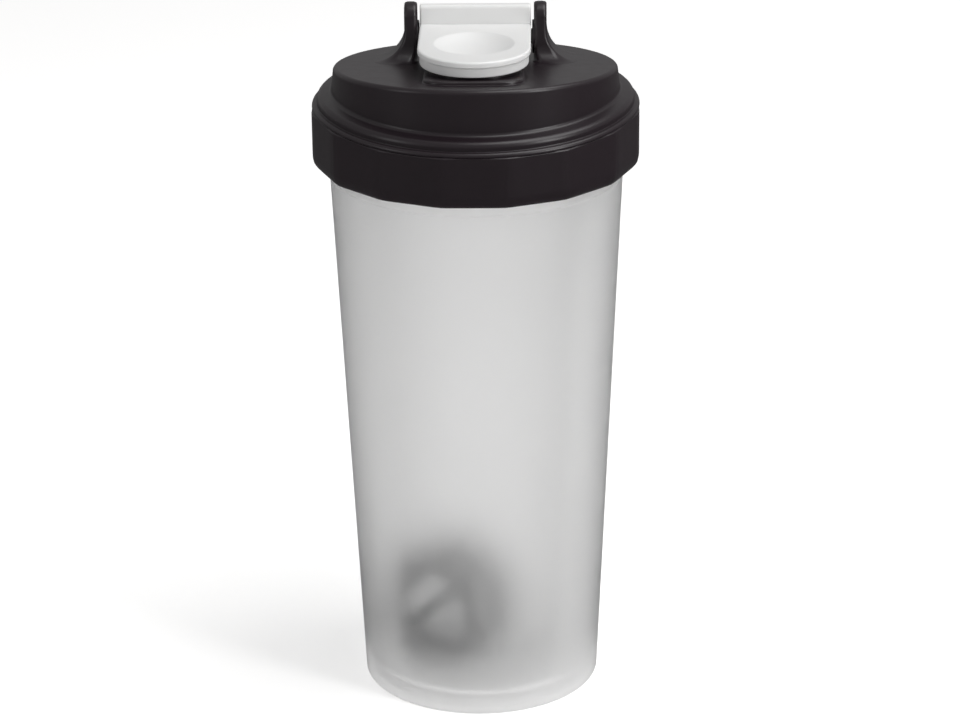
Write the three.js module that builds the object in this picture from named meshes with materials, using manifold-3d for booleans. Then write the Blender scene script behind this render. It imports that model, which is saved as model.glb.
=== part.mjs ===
// Protein shaker bottle: a tapered frosted cup, a screw lid with a leaning deck, a seal ring in the
// lid, a flip cap that plugs the spout, and a lattice mixer ball loose in the cup.
// Millimetres, +Z up. The bottle stands on z = 0 about the Z axis and its spout faces -Y.

import * as THREE from "three";
import { mergeVertices } from "three/addons/utils/BufferGeometryUtils.js";
import Module from "manifold-3d";

const wasm = await Module();
wasm.setup();

// ---- Driving dimensions ----

const TOTAL_HEIGHT = 219.6;

// Cup
const BASE_RADIUS = 37.4;
const CUP_TAPER = 0.0458; // radius gained for each millimetre of height
const CUP_WALL = 1.8;
const BASE_EDGE_RADIUS = 2.5;
const FOOT_INNER_RADIUS = 31.5;
const FOOT_RECESS_DEPTH = 2;
const FLOOR_HEIGHT = 4.2;
const FLOOR_CORNER_RADIUS = 6;
const SHOULDER_HEIGHT = 169.3;
const NECK_RADIUS = 44.4;
const NECK_INNER_RADIUS = 42.5;
const MOUTH_HEIGHT = 188.5;

// Screw thread, one on the neck and its match in the lid
const THREAD_PITCH = 5;
const THREAD_TURNS = 1.25;
const THREAD_START_HEIGHT = 177.8;
const THREAD_DEPTH = 2;
const THREAD_ROOT_WIDTH = 2.4;
const THREAD_CREST_WIDTH = 1.2;
const THREAD_RUN_OUT = 0.06; // share of the thread's length over which each end rises

// Lid
const PANEL_COUNT = 16;
const PANEL_APOTHEM = 49.95;
const PANEL_TOP = 190.3;
const COLLAR_CORNER_RADIUS = 50.6;
const COLLAR_BOTTOM = 173.2;
const COLLAR_BOTTOM_APOTHEM = 48.6;
const COLLAR_TAPER_TOP = 176.4;
const RING_RADIUS = 50.15; // the round band above the grip panels
const RING_TOP = 191.9;
const RING_ROUND = 1;
const RIM_RADIUS = 48.6;
const RIM_TOP = 194.8;
const RIM_ROUND = 1.8;
const LEDGE_TOP = 195.1; // at the foot of the drum
const LEDGE_FILLET = 1.2;
const FRONT_DIP = 1.4; // how much lower the ring, the rim and the ledge are at the front
const FRONT_DIP_FROM_Y = -15;
const FRONT_DIP_FULL_Y = -50;
const COLLAR_BORE_RADIUS = 47.2;
const COLLAR_CEILING = 191.1;
const DRUM_FOOT_RADIUS = 44.1;
const DRUM_TOP_RADIUS = 43.5;
const DECK_HEIGHT = 202.9; // on the axis
const DECK_LEAN = THREE.MathUtils.degToRad(6.4); // the front edge is the high one
const DECK_THICKNESS = 2.2;
const DECK_EDGE_RADIUS = 1.4;
const LIP_RADIUS = 42;
const LIP_THICKNESS = 1.6;
const LIP_BOTTOM = 186.2;

// Spout, square to the deck
const SPOUT_Y = -16.9;
const SPOUT_RADIUS = 13.9;
const SPOUT_BORE_RADIUS = 11.9;
const SPOUT_HEIGHT = 3;
const SPOUT_FOOT_FILLET = 1;
const PLINTH_HALF_WIDTH = 15.1;
const PLINTH_FRONT = -18.5; // from the spout's centre
const PLINTH_BACK = 13.9;
const PLINTH_HEIGHT = 1.2;
const PLINTH_CORNER_RADIUS = 6.5;
const PLINTH_EDGE_ROUND = 0.8;

// Posts and the hinge between them
const POST_INNER_X = 17.9;
const POST_OUTER_X = 21.8;
const POST_Y = 11;
const POST_TOP_RADIUS = 4.4;
const POST_FOOT_HALF_DEPTH = 6.5;
const POST_FLARE_RADIUS = 10;
const HINGE_HEIGHT = 208.5;
const HINGE_PIN_RADIUS = 2.4;
const HINGE_HOLE_RADIUS = 2.6;
const HINGE_PIN_INNER_X = 14.4;
const HINGE_BOSS_RADIUS = 5.2;
const HINGE_BOSS_INNER_X = 17.35;

// Flip cap
const CAP_TOP = 213.4;
const CAP_PLATE_THICKNESS = 2;
const CAP_HALF_WIDTH = 17;
const CAP_NOSE_Y = -16.4; // centre of the round front
const CAP_EDGE_ROUND = 0.5;
const CAP_TAB_FRONT_Y = 7.6;
const CAP_TAB_THICKNESS = 3.2;
const CAP_TAB_TOP = 219.4;
const CAP_SKIRT_OUTER = 16.4;
const CAP_SKIRT_WALL = 1.4;
const CAP_SKIRT_BOTTOM = 208.4;
const CAP_SKIRT_END_Y = 3;
const CAP_CHEEK_OUTER_X = 16.9;
const CAP_CHEEK_INNER_X = 14.7;
const CAP_CHEEK_RADIUS = 4.8;
const DIMPLE_Y = -12.8;
const DIMPLE_RADIUS = 12.2;
const DIMPLE_DEPTH = 3.6;
const DIMPLE_WALL = 1.4;
const PLUG_RADIUS = 11.4;
const PLUG_WALL = 1.4;
const PLUG_DEPTH = 2.4;

// Seal ring
const SEAL_INNER_RADIUS = 42.4;
const SEAL_OUTER_RADIUS = 46.2;
const SEAL_GAP = 0.3;

// Mixer ball
const BALL_RADIUS = 22;
const BALL_BAR_RADIUS = 1.8;
const BALL_KNOT_RADIUS = 3.5;
const BALL_FLOOR_GAP = 0.3;
const BALL_CENTRE = new THREE.Vector3(-11.5, -8, FLOOR_HEIGHT + BALL_FLOOR_GAP + BALL_RADIUS);
const BALL_TURN = new THREE.Euler(-1.098, -0.449, 0.414);
const BALL_SEAM_HALF_HEIGHT = 2.4;
const BALL_SEAM_GAP = 0.3;
const BALL_LIP_RADIUS = 19.8;
const BALL_LIP_HEIGHT = 1.5;

// Roundness
const TURN_SEGMENTS = 64;
const SPOUT_SEGMENTS = 32;
const PIN_SEGMENTS = 20;
const ARC_STEPS = 4;
const WELD_DISTANCE = 1e-4;
const SIMPLIFY_DISTANCE = 0.03;

// ---- Shape helpers ----

const point = (x, y) => new THREE.Vector2(x, y);

// Points on an arc of a profile, angles in degrees from the +X side.
function arc(centreX, centreY, radius, fromDegrees, toDegrees, steps = ARC_STEPS) {
  const points = [];
  for (let i = 0; i <= steps; i += 1) {
    const angle = THREE.MathUtils.degToRad(fromDegrees + ((toDegrees - fromDegrees) * i) / steps);
    points.push(point(centreX + radius * Math.cos(angle), centreY + radius * Math.sin(angle)));
  }
  return points;
}

// A solid turned about the Z axis from points given as (radius, height).
function turned(profile, segments = TURN_SEGMENTS, startAngle = 0) {
  const geometry = new THREE.LatheGeometry(profile, segments, startAngle);
  return geometry.rotateX(Math.PI / 2);
}

// A ring turned about the Z axis, its section closing on itself.
const turnedRing = (profile, segments) => turned([...profile, profile[0].clone()], segments);

// A flat outline in X and Y raised between two heights.
function raised(shape, bottom, top) {
  const geometry = new THREE.ExtrudeGeometry(shape, {
    depth: top - bottom,
    bevelEnabled: false,
    curveSegments: SPOUT_SEGMENTS / 2,
  });
  return geometry.translate(0, 0, bottom);
}

// An outline drawn in Y and Z carried along X.
function carriedAlongX(shape, fromX, toX) {
  const geometry = new THREE.ExtrudeGeometry(shape, {
    depth: toX - fromX,
    bevelEnabled: false,
    curveSegments: PIN_SEGMENTS / 2,
  });
  const yAxis = new THREE.Vector3(0, 1, 0);
  const zAxis = new THREE.Vector3(0, 0, 1);
  const xAxis = new THREE.Vector3(1, 0, 0);
  geometry.applyMatrix4(new THREE.Matrix4().makeBasis(yAxis, zAxis, xAxis));
  return geometry.translate(fromX, 0, 0);
}

// A round bar along X at the hinge.
function hingeBar(radius, fromX, toX) {
  const geometry = new THREE.CylinderGeometry(radius, radius, toX - fromX, PIN_SEGMENTS);
  geometry.rotateZ(Math.PI / 2);
  return geometry.translate((fromX + toX) / 2, POST_Y, HINGE_HEIGHT);
}

// Moves a shape made about the Z axis so that it stands square on the leaning deck at the spout.
function atSpout(geometry) {
  geometry.rotateX(-DECK_LEAN);
  return geometry.translate(0, SPOUT_Y, deckHeightAt(SPOUT_Y));
}

// The height of the deck's top face at a distance along Y.
const deckHeightAt = (y) => DECK_HEIGHT - y * Math.tan(DECK_LEAN);

// ---- Solids ----

function toSolid(geometry) {
  const bare = geometry.clone();
  bare.deleteAttribute("normal");
  bare.deleteAttribute("uv");
  const welded = mergeVertices(bare, WELD_DISTANCE);
  const corners = welded.index.array;
  const triangles = [];
  for (let i = 0; i < corners.length; i += 3) {
    const [a, b, c] = corners.slice(i, i + 3);
    if (a !== b && b !== c && c !== a) {
      triangles.push(a, b, c);
    }
  }
  const solid = manifoldOf(welded.attributes.position.array, triangles);
  return solid.volume() > 0 ? solid : manifoldOf(welded.attributes.position.array, triangles.reverse());
}

function manifoldOf(positions, triangles) {
  const mesh = new wasm.Mesh({
    numProp: 3,
    vertProperties: Float32Array.from(positions),
    triVerts: Uint32Array.from(triangles),
  });
  return new wasm.Manifold(mesh);
}

const joined = (...geometries) => geometries.map(toSolid).reduce((whole, piece) => whole.add(piece));

function cut(solid, ...geometries) {
  return geometries.map(toSolid).reduce((whole, piece) => whole.subtract(piece), solid);
}

// The largest piece of a solid, without the slivers that a boolean leaves behind.
function mainPiece(solid) {
  const pieces = solid.simplify(SIMPLIFY_DISTANCE).decompose();
  return pieces.reduce((largest, piece) => (piece.volume() > largest.volume() ? piece : largest));
}

function toMesh(name, solid, material) {
  const { vertProperties, triVerts } = mainPiece(solid).getMesh();
  const geometry = new THREE.BufferGeometry();
  geometry.setAttribute("position", new THREE.BufferAttribute(new Float32Array(vertProperties), 3));
  geometry.setIndex(new THREE.BufferAttribute(new Uint32Array(triVerts), 1));
  geometry.computeVertexNormals();
  const mesh = new THREE.Mesh(geometry, material);
  mesh.name = name;
  return mesh;
}

// ---- Screw thread ----

// A ridge wound round the Z axis, rising to the right. It stands out from footRadius by depth,
// or in from it when depth is negative.
function thread(footRadius, depth, startHeight) {
  const buried = -0.3 * Math.sign(depth);
  const halfRoot = THREAD_ROOT_WIDTH / 2;
  const halfCrest = THREAD_CREST_WIDTH / 2;
  const section = new THREE.Shape([
    point(buried, -halfRoot),
    point(depth, -halfCrest),
    point(depth, halfCrest),
    point(buried, halfRoot),
  ]);
  const steps = Math.round(THREAD_TURNS * TURN_SEGMENTS * 0.5);
  const geometry = new THREE.ExtrudeGeometry(section, { depth: 1, steps, bevelEnabled: false });
  const place = geometry.attributes.position;
  for (let i = 0; i < place.count; i += 1) {
    const along = place.getZ(i);
    const rise = Math.min(1, along / THREAD_RUN_OUT, (1 - along) / THREAD_RUN_OUT);
    const out = place.getX(i) === depth ? depth * rise : buried;
    const angle = along * THREAD_TURNS * 2 * Math.PI;
    const radius = footRadius + out;
    const height = startHeight + place.getY(i) + along * THREAD_TURNS * THREAD_PITCH;
    place.setXYZ(i, radius * Math.cos(angle), radius * Math.sin(angle), height);
  }
  return geometry;
}

// ---- Cup ----

const cupRadiusAt = (height) => BASE_RADIUS + CUP_TAPER * height;

function buildCup(material) {
  const edge = BASE_EDGE_RADIUS;
  const footEdge = cupRadiusAt(edge) - edge;
  const shoulder = cupRadiusAt(SHOULDER_HEIGHT);
  const wallStart = FLOOR_HEIGHT + FLOOR_CORNER_RADIUS;
  const floorEdge = cupRadiusAt(wallStart) - CUP_WALL - FLOOR_CORNER_RADIUS;
  const lipRound = (NECK_RADIUS - NECK_INNER_RADIUS) / 2;
  const profile = [
    point(0, FOOT_RECESS_DEPTH),
    point(FOOT_INNER_RADIUS - FOOT_RECESS_DEPTH, FOOT_RECESS_DEPTH),
    point(FOOT_INNER_RADIUS, 0),
    ...arc(footEdge, edge, edge, -90, 0),
    point(shoulder, SHOULDER_HEIGHT - 0.4),
    point(shoulder - 0.3, SHOULDER_HEIGHT),
    point(NECK_RADIUS, SHOULDER_HEIGHT + 0.6),
    point(NECK_RADIUS, THREAD_START_HEIGHT),
    ...arc(NECK_RADIUS - lipRound, MOUTH_HEIGHT - lipRound, lipRound, 0, 180, 2 * ARC_STEPS),
    point(NECK_INNER_RADIUS, SHOULDER_HEIGHT + 1.5),
    point(cupRadiusAt(SHOULDER_HEIGHT - 2) - CUP_WALL, SHOULDER_HEIGHT - 2),
    ...arc(floorEdge, wallStart, FLOOR_CORNER_RADIUS, 0, -90),
    point(0, FLOOR_HEIGHT),
  ];
  const ridge = thread(NECK_RADIUS, THREAD_DEPTH, THREAD_START_HEIGHT);
  return toMesh("cup", joined(turned(profile), ridge), material);
}

// ---- Lid ----

// Leans the lid's top: full lean from the deck's underside up, fading out down the drum's wall.
function leanTop(geometry) {
  const wallFoot = LEDGE_TOP + LEDGE_FILLET + 0.2;
  const place = geometry.attributes.position;
  for (let i = 0; i < place.count; i += 1) {
    const height = place.getZ(i);
    const rise = (height - wallFoot) / (DECK_HEIGHT - DECK_THICKNESS - wallFoot);
    const share = THREE.MathUtils.clamp(rise, 0, 1);
    place.setZ(i, height - share * place.getY(i) * Math.tan(DECK_LEAN));
  }
  return geometry;
}

// Lowers the ring, the rim and the ledge at the front. The ceiling inside stays level.
function dipFront(geometry) {
  const place = geometry.attributes.position;
  for (let i = 0; i < place.count; i += 1) {
    const radius = Math.hypot(place.getX(i), place.getY(i));
    const height = place.getZ(i);
    const onRing = radius > COLLAR_BORE_RADIUS + 0.5 && height > PANEL_TOP - 1;
    const onLedge = radius > DRUM_TOP_RADIUS + 0.3 && height > COLLAR_CEILING + 1;
    if (onRing || onLedge) {
      const share = THREE.MathUtils.smoothstep(-place.getY(i), -FRONT_DIP_FROM_Y, -FRONT_DIP_FULL_Y);
      place.setZ(i, height - FRONT_DIP * share);
    }
  }
  return geometry;
}

function lidShell() {
  const edge = DECK_EDGE_RADIUS;
  const foot = LEDGE_FILLET;
  const deckUnderside = DECK_HEIGHT - DECK_THICKNESS;
  const drumInner = DRUM_TOP_RADIUS - DECK_THICKNESS;
  const profile = [
    point(0, DECK_HEIGHT),
    ...arc(DRUM_TOP_RADIUS - edge, DECK_HEIGHT - edge, edge, 90, 0),
    ...arc(DRUM_FOOT_RADIUS + foot, LEDGE_TOP + foot, foot, 180, 270),
    ...arc(RIM_RADIUS - RIM_ROUND, RIM_TOP - RIM_ROUND, RIM_ROUND, 90, 0),
    point(RIM_RADIUS, RING_TOP),
    ...arc(RING_RADIUS - RING_ROUND, RING_TOP - RING_ROUND, RING_ROUND, 90, 0, 3),
    point(RING_RADIUS, PANEL_TOP + 0.4),
    point(COLLAR_CORNER_RADIUS, PANEL_TOP),
    point(COLLAR_CORNER_RADIUS, COLLAR_BOTTOM),
    point(COLLAR_BORE_RADIUS + 0.3, COLLAR_BOTTOM),
    point(COLLAR_BORE_RADIUS, COLLAR_BOTTOM + 0.5),
    point(COLLAR_BORE_RADIUS, COLLAR_CEILING),
    point(LIP_RADIUS, COLLAR_CEILING),
    point(LIP_RADIUS, LIP_BOTTOM + 0.6),
    point(LIP_RADIUS - 0.6, LIP_BOTTOM),
    point(LIP_RADIUS - LIP_THICKNESS, LIP_BOTTOM),
    point(LIP_RADIUS - LIP_THICKNESS, COLLAR_CEILING),
    point(drumInner, COLLAR_CEILING + 2.5),
    ...arc(drumInner - edge, deckUnderside - edge, edge, 0, 90),
    point(0, deckUnderside),
  ];
  return leanTop(dipFront(turned(profile)));
}

// The many-sided form that the collar's grip panels are faces of, narrowing at its foot.
function panelForm() {
  const cornerShare = 1 / Math.cos(Math.PI / PANEL_COUNT);
  const profile = [
    point(0, COLLAR_BOTTOM),
    point(COLLAR_BOTTOM_APOTHEM * cornerShare, COLLAR_BOTTOM),
    point((COLLAR_BOTTOM_APOTHEM + 0.9) * cornerShare, COLLAR_BOTTOM + 1.4),
    point(PANEL_APOTHEM * cornerShare, COLLAR_TAPER_TOP),
    point(PANEL_APOTHEM * cornerShare, PANEL_TOP),
    point((RING_RADIUS + 0.05) * cornerShare, PANEL_TOP + 0.4),
    point((RING_RADIUS + 0.05) * cornerShare, TOTAL_HEIGHT),
    point(0, TOTAL_HEIGHT),
  ];
  return dipFront(turned(profile, PANEL_COUNT, Math.PI / PANEL_COUNT));
}

function spoutBoss() {
  const fillet = SPOUT_FOOT_FILLET;
  const lipRound = 0.8;
  const profile = [
    point(0, -1),
    point(SPOUT_RADIUS + fillet, -1),
    ...arc(SPOUT_RADIUS + fillet, fillet, fillet, -90, -180),
    ...arc(SPOUT_RADIUS - lipRound, SPOUT_HEIGHT - lipRound, lipRound, 0, 90, 3),
    point(0, SPOUT_HEIGHT),
  ];
  return atSpout(turned(profile, SPOUT_SEGMENTS));
}

// The low round-cornered step that the spout stands on.
function spoutPlinth() {
  const round = PLINTH_EDGE_ROUND;
  const corner = PLINTH_CORNER_RADIUS - round;
  const right = PLINTH_HALF_WIDTH - round - corner;
  const back = PLINTH_BACK - round - corner;
  const front = PLINTH_FRONT + round + corner;
  const shape = new THREE.Shape([
    ...arc(right, back, corner, 0, 90),
    ...arc(-right, back, corner, 90, 180),
    ...arc(-right, front, corner, 180, 270),
    ...arc(right, front, corner, 270, 360),
  ]);
  const geometry = new THREE.ExtrudeGeometry(shape, {
    depth: PLINTH_HEIGHT,
    bevelThickness: round,
    bevelSize: round,
    bevelSegments: 2,
  });
  return atSpout(geometry.translate(0, 0, -round));
}

function spoutBore() {
  const length = 20;
  const geometry = new THREE.CylinderGeometry(SPOUT_BORE_RADIUS, SPOUT_BORE_RADIUS, length, SPOUT_SEGMENTS);
  return atSpout(geometry.rotateX(Math.PI / 2));
}

// Side is 1 for the post at +X and -1 for the one at -X.
const across = (side, inner, outer) => (side > 0 ? [inner, outer] : [-outer, -inner]);

function post(side) {
  const footHeight = deckHeightAt(POST_Y + POST_FOOT_HALF_DEPTH) - 0.6;
  const topCentre = TOTAL_HEIGHT - POST_TOP_RADIUS;
  const shape = new THREE.Shape();
  shape.moveTo(POST_Y - POST_FOOT_HALF_DEPTH, footHeight);
  shape.lineTo(POST_Y + POST_FOOT_HALF_DEPTH, footHeight);
  shape.lineTo(POST_Y + POST_TOP_RADIUS, topCentre);
  shape.absarc(POST_Y, topCentre, POST_TOP_RADIUS, 0, Math.PI);
  shape.lineTo(POST_Y - POST_FOOT_HALF_DEPTH, footHeight);
  return carriedAlongX(shape, ...across(side, POST_INNER_X, POST_OUTER_X));
}

// A curved gusset on the post's outer side, lying on the leaning deck.
function postFlare(side) {
  const radius = POST_FLARE_RADIUS;
  const shape = new THREE.Shape([
    point(POST_INNER_X + 1, -1),
    point(POST_OUTER_X + radius, -1),
    ...arc(POST_OUTER_X + radius, radius, radius, -90, -180, 2 * ARC_STEPS),
    point(POST_INNER_X + 1, radius),
  ]);
  const depth = 2 * POST_FOOT_HALF_DEPTH - 1;
  const geometry = new THREE.ExtrudeGeometry(shape, { depth, bevelEnabled: false });
  geometry.rotateX(Math.PI / 2);
  geometry.translate(0, POST_Y + depth / 2, 0);
  if (side < 0) {
    geometry.rotateZ(Math.PI);
    geometry.translate(0, 2 * POST_Y, 0);
  }
  const place = geometry.attributes.position;
  for (let i = 0; i < place.count; i += 1) {
    place.setZ(i, place.getZ(i) + deckHeightAt(place.getY(i)));
  }
  return geometry;
}

function postParts(side) {
  return [
    post(side),
    postFlare(side),
    hingeBar(HINGE_BOSS_RADIUS, ...across(side, HINGE_BOSS_INNER_X, POST_OUTER_X - 1)),
    hingeBar(HINGE_PIN_RADIUS, ...across(side, HINGE_PIN_INNER_X, POST_OUTER_X - 1)),
  ];
}

function buildLid(material) {
  const shell = toSolid(lidShell()).intersect(toSolid(panelForm()));
  const ridge = thread(COLLAR_BORE_RADIUS, -THREAD_DEPTH, THREAD_START_HEIGHT - THREAD_PITCH / 2);
  const fittings = joined(spoutBoss(), spoutPlinth(), ridge, ...postParts(1), ...postParts(-1));
  return toMesh("lid", cut(shell.add(fittings), spoutBore()), material);
}

// ---- Seal ring ----

function buildSealRing(material) {
  const bottom = MOUTH_HEIGHT + SEAL_GAP;
  const top = COLLAR_CEILING - SEAL_GAP;
  const round = 0.4;
  const profile = [
    ...arc(SEAL_OUTER_RADIUS - round, bottom + round, round, -90, 0, 1),
    ...arc(SEAL_OUTER_RADIUS - round, top - round, round, 0, 90, 1),
    ...arc(SEAL_INNER_RADIUS + round, top - round, round, 90, 180, 1),
    ...arc(SEAL_INNER_RADIUS + round, bottom + round, round, 180, 270, 1),
  ];
  return toMesh("seal_ring", toSolid(turnedRing(profile)), material);
}

// ---- Flip cap ----

// A tongue with a round front: straight sides back to endY.
function tongue(halfWidth, endY) {
  const shape = new THREE.Shape();
  shape.moveTo(-halfWidth, endY);
  shape.lineTo(-halfWidth, CAP_NOSE_Y);
  shape.absarc(0, CAP_NOSE_Y, halfWidth, Math.PI, 2 * Math.PI);
  shape.lineTo(halfWidth, endY);
  shape.lineTo(-halfWidth, endY);
  return shape;
}

function capPlate() {
  const round = CAP_EDGE_ROUND;
  const backY = CAP_TAB_FRONT_Y + CAP_TAB_THICKNESS;
  const geometry = new THREE.ExtrudeGeometry(tongue(CAP_HALF_WIDTH - round, backY - round), {
    depth: CAP_PLATE_THICKNESS - 2 * round,
    bevelThickness: round,
    bevelSize: round,
    bevelSegments: 2,
    curveSegments: SPOUT_SEGMENTS / 2,
  });
  return geometry.translate(0, 0, CAP_TOP - CAP_PLATE_THICKNESS + round);
}

function capTab() {
  const round = 1.2;
  const backY = CAP_TAB_FRONT_Y + CAP_TAB_THICKNESS;
  const shape = new THREE.Shape([
    point(CAP_TAB_FRONT_Y, CAP_TOP - 1),
    point(backY, CAP_TOP - 1),
    ...arc(backY - round, CAP_TAB_TOP - round, round, 0, 90),
    ...arc(CAP_TAB_FRONT_Y + round, CAP_TAB_TOP - round, round, 90, 180),
  ]);
  return carriedAlongX(shape, -CAP_HALF_WIDTH, CAP_HALF_WIDTH);
}

function capSkirt() {
  const inner = CAP_SKIRT_OUTER - CAP_SKIRT_WALL;
  const shape = new THREE.Shape();
  shape.moveTo(-CAP_SKIRT_OUTER, CAP_SKIRT_END_Y);
  shape.lineTo(-CAP_SKIRT_OUTER, CAP_NOSE_Y);
  shape.absarc(0, CAP_NOSE_Y, CAP_SKIRT_OUTER, Math.PI, 2 * Math.PI);
  shape.lineTo(CAP_SKIRT_OUTER, CAP_SKIRT_END_Y);
  shape.lineTo(inner, CAP_SKIRT_END_Y);
  shape.lineTo(inner, CAP_NOSE_Y);
  shape.absarc(0, CAP_NOSE_Y, inner, 0, -Math.PI, true);
  shape.lineTo(-inner, CAP_SKIRT_END_Y);
  return raised(shape, CAP_SKIRT_BOTTOM, CAP_TOP - 1);
}

// The ear beside each post that the hinge pin passes through.
function capCheek(side) {
  const shape = new THREE.Shape();
  shape.moveTo(CAP_SKIRT_END_Y - 1, CAP_TOP - 1);
  shape.lineTo(CAP_SKIRT_END_Y - 1, CAP_SKIRT_BOTTOM);
  shape.lineTo(POST_Y - CAP_CHEEK_RADIUS * 0.8, HINGE_HEIGHT - CAP_CHEEK_RADIUS * 0.6);
  const start = Math.atan2(-0.6, -0.8);
  shape.absarc(POST_Y, HINGE_HEIGHT, CAP_CHEEK_RADIUS, start, Math.PI * 0.5);
  shape.lineTo(CAP_TAB_FRONT_Y + 2, CAP_TOP - 1);
  return carriedAlongX(shape, ...across(side, CAP_CHEEK_INNER_X, CAP_CHEEK_OUTER_X));
}

// A shallow bowl shape, the foot of a sphere, that is depth deep at radius.
function bowl(radius, depth, lowering, topHeight) {
  const sphere = (radius * radius + depth * depth) / (2 * depth);
  const reach = THREE.MathUtils.radToDeg(Math.asin(radius / sphere));
  const centreHeight = sphere - depth - lowering;
  const profile = [
    ...arc(0, centreHeight, sphere, -90, -90 + reach, 8),
    point(radius, topHeight),
    point(0, topHeight),
  ];
  profile[0].x = 0;
  return turned(profile, SPOUT_SEGMENTS).translate(0, DIMPLE_Y, CAP_TOP);
}

// The ring under the plate that closes the spout's bore.
function capPlug() {
  const bottom = SPOUT_HEIGHT - PLUG_DEPTH;
  const top = SPOUT_HEIGHT + 3;
  const lead = 0.5;
  const profile = [
    point(PLUG_RADIUS - PLUG_WALL, bottom),
    point(PLUG_RADIUS - lead, bottom),
    point(PLUG_RADIUS, bottom + lead),
    point(PLUG_RADIUS, top),
    point(PLUG_RADIUS - PLUG_WALL, top),
  ];
  const ring = toSolid(atSpout(turnedRing(profile, SPOUT_SEGMENTS)));
  const underPlate = new THREE.BoxGeometry(60, 100, 60).translate(0, 0, CAP_TOP - 1 - 30);
  return ring.intersect(toSolid(underPlate));
}

function buildFlipCap(material) {
  const bulge = bowl(DIMPLE_RADIUS, DIMPLE_DEPTH, DIMPLE_WALL, -CAP_PLATE_THICKNESS / 2);
  const body = joined(capPlate(), capTab(), capSkirt(), capCheek(1), capCheek(-1), bulge);
  const dimple = bowl(DIMPLE_RADIUS, DIMPLE_DEPTH, 0, 3);
  const hole = hingeBar(HINGE_HOLE_RADIUS, -POST_INNER_X, POST_INNER_X);
  return toMesh("flip_cap", cut(body.add(capPlug()), dimple, hole), material);
}

// ---- Mixer ball ----

// A bar bent along the great circle between two knots.
class BarPath extends THREE.Curve {
  constructor(from, to) {
    super();
    this.from = from;
    this.to = to;
  }

  getPoint(share, target = new THREE.Vector3()) {
    const radius = this.from.length();
    return target.copy(this.from).lerp(this.to, share).setLength(radius);
  }
}

function ballBar(from, to) {
  const section = new THREE.Shape(arc(0, 0, BALL_BAR_RADIUS, 0, 300, 5));
  return new THREE.ExtrudeGeometry(section, { steps: 2, extrudePath: new BarPath(from, to) });
}

// The twelve knots of an icosahedron, two of them on the Z axis.
function ballKnots() {
  const radius = BALL_RADIUS - BALL_BAR_RADIUS;
  const ringHeight = radius / Math.sqrt(5);
  const ringRadius = 2 * ringHeight;
  const knots = [new THREE.Vector3(0, 0, radius), new THREE.Vector3(0, 0, -radius)];
  for (let i = 0; i < 5; i += 1) {
    const angle = (i * 2 * Math.PI) / 5;
    const opposite = angle + Math.PI;
    knots.push(new THREE.Vector3(ringRadius * Math.cos(angle), ringRadius * Math.sin(angle), ringHeight));
    knots.push(
      new THREE.Vector3(ringRadius * Math.cos(opposite), ringRadius * Math.sin(opposite), -ringHeight),
    );
  }
  return knots;
}

function ballLattice() {
  const knots = ballKnots();
  const barLength = 1.1 * 1.0515 * knots[0].length();
  const pieces = knots.map((knot) => {
    const sphere = new THREE.IcosahedronGeometry(BALL_KNOT_RADIUS, 1);
    const pulledIn = knot.clone().setLength(BALL_RADIUS - BALL_KNOT_RADIUS);
    return sphere.translate(pulledIn.x, pulledIn.y, pulledIn.z);
  });
  knots.forEach((knot, index) => {
    knots.slice(index + 1).forEach((other) => {
      if (knot.distanceTo(other) < barLength) {
        pieces.push(ballBar(knot, other));
      }
    });
  });
  return joined(...pieces, ballBand(BALL_RADIUS - 2 * BALL_BAR_RADIUS, BALL_RADIUS));
}

// The band round the ball's seam.
function ballBand(innerRadius, outerRadius) {
  const half = BALL_SEAM_HALF_HEIGHT;
  const section = [
    point(innerRadius, -half),
    point(outerRadius - 0.5, -half),
    point(outerRadius - 0.1, -half / 2),
    point(outerRadius - 0.1, half / 2),
    point(outerRadius - 0.5, half),
    point(innerRadius, half),
  ];
  return turnedRing(section, SPOUT_SEGMENTS);
}

// A disc or ring about the seam, for trimming the two halves.
function seamRing(innerRadius, outerRadius, bottom, top) {
  const section = [
    point(innerRadius, bottom),
    point(outerRadius, bottom),
    point(outerRadius, top),
    point(innerRadius, top),
  ];
  return innerRadius > 0 ? turnedRing(section, SPOUT_SEGMENTS) : turned(section, SPOUT_SEGMENTS);
}

// The two halves of the ball. A lip on the lower one fits inside the band of the upper one.
function buildBall(material) {
  const lattice = ballLattice();
  const reach = BALL_RADIUS + 1;
  const halfGap = BALL_SEAM_GAP / 2;
  const rebate = seamRing(0, BALL_LIP_RADIUS + BALL_SEAM_GAP, -reach, BALL_LIP_HEIGHT + BALL_SEAM_GAP);
  const upper = cut(lattice, seamRing(0, reach, -reach, halfGap), rebate);
  const lower = cut(lattice, seamRing(0, reach, -halfGap, reach));
  const lip = seamRing(BALL_RADIUS - 2 * BALL_BAR_RADIUS, BALL_LIP_RADIUS, -1, BALL_LIP_HEIGHT);
  const halves = [
    toMesh("mixer_ball_upper", upper, material),
    toMesh("mixer_ball_lower", lower.add(toSolid(lip)), material),
  ];
  const ball = new THREE.Group();
  ball.add(...halves);
  ball.position.copy(BALL_CENTRE);
  ball.rotation.copy(BALL_TURN);
  return ball;
}

// ---- Materials ----

const frostedPlastic = new THREE.MeshStandardMaterial({ color: 0xdadcdb, roughness: 0.55, metalness: 0 });
const blackPlastic = new THREE.MeshStandardMaterial({ color: 0x1e1c1e, roughness: 0.32, metalness: 0 });
const whitePlastic = new THREE.MeshStandardMaterial({ color: 0xf0f0ee, roughness: 0.42, metalness: 0 });
const sealRubber = new THREE.MeshStandardMaterial({ color: 0xc9cac8, roughness: 0.7, metalness: 0 });
const ballPlastic = new THREE.MeshStandardMaterial({ color: 0x26262a, roughness: 0.45, metalness: 0 });

// ---- Assembly ----

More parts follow.
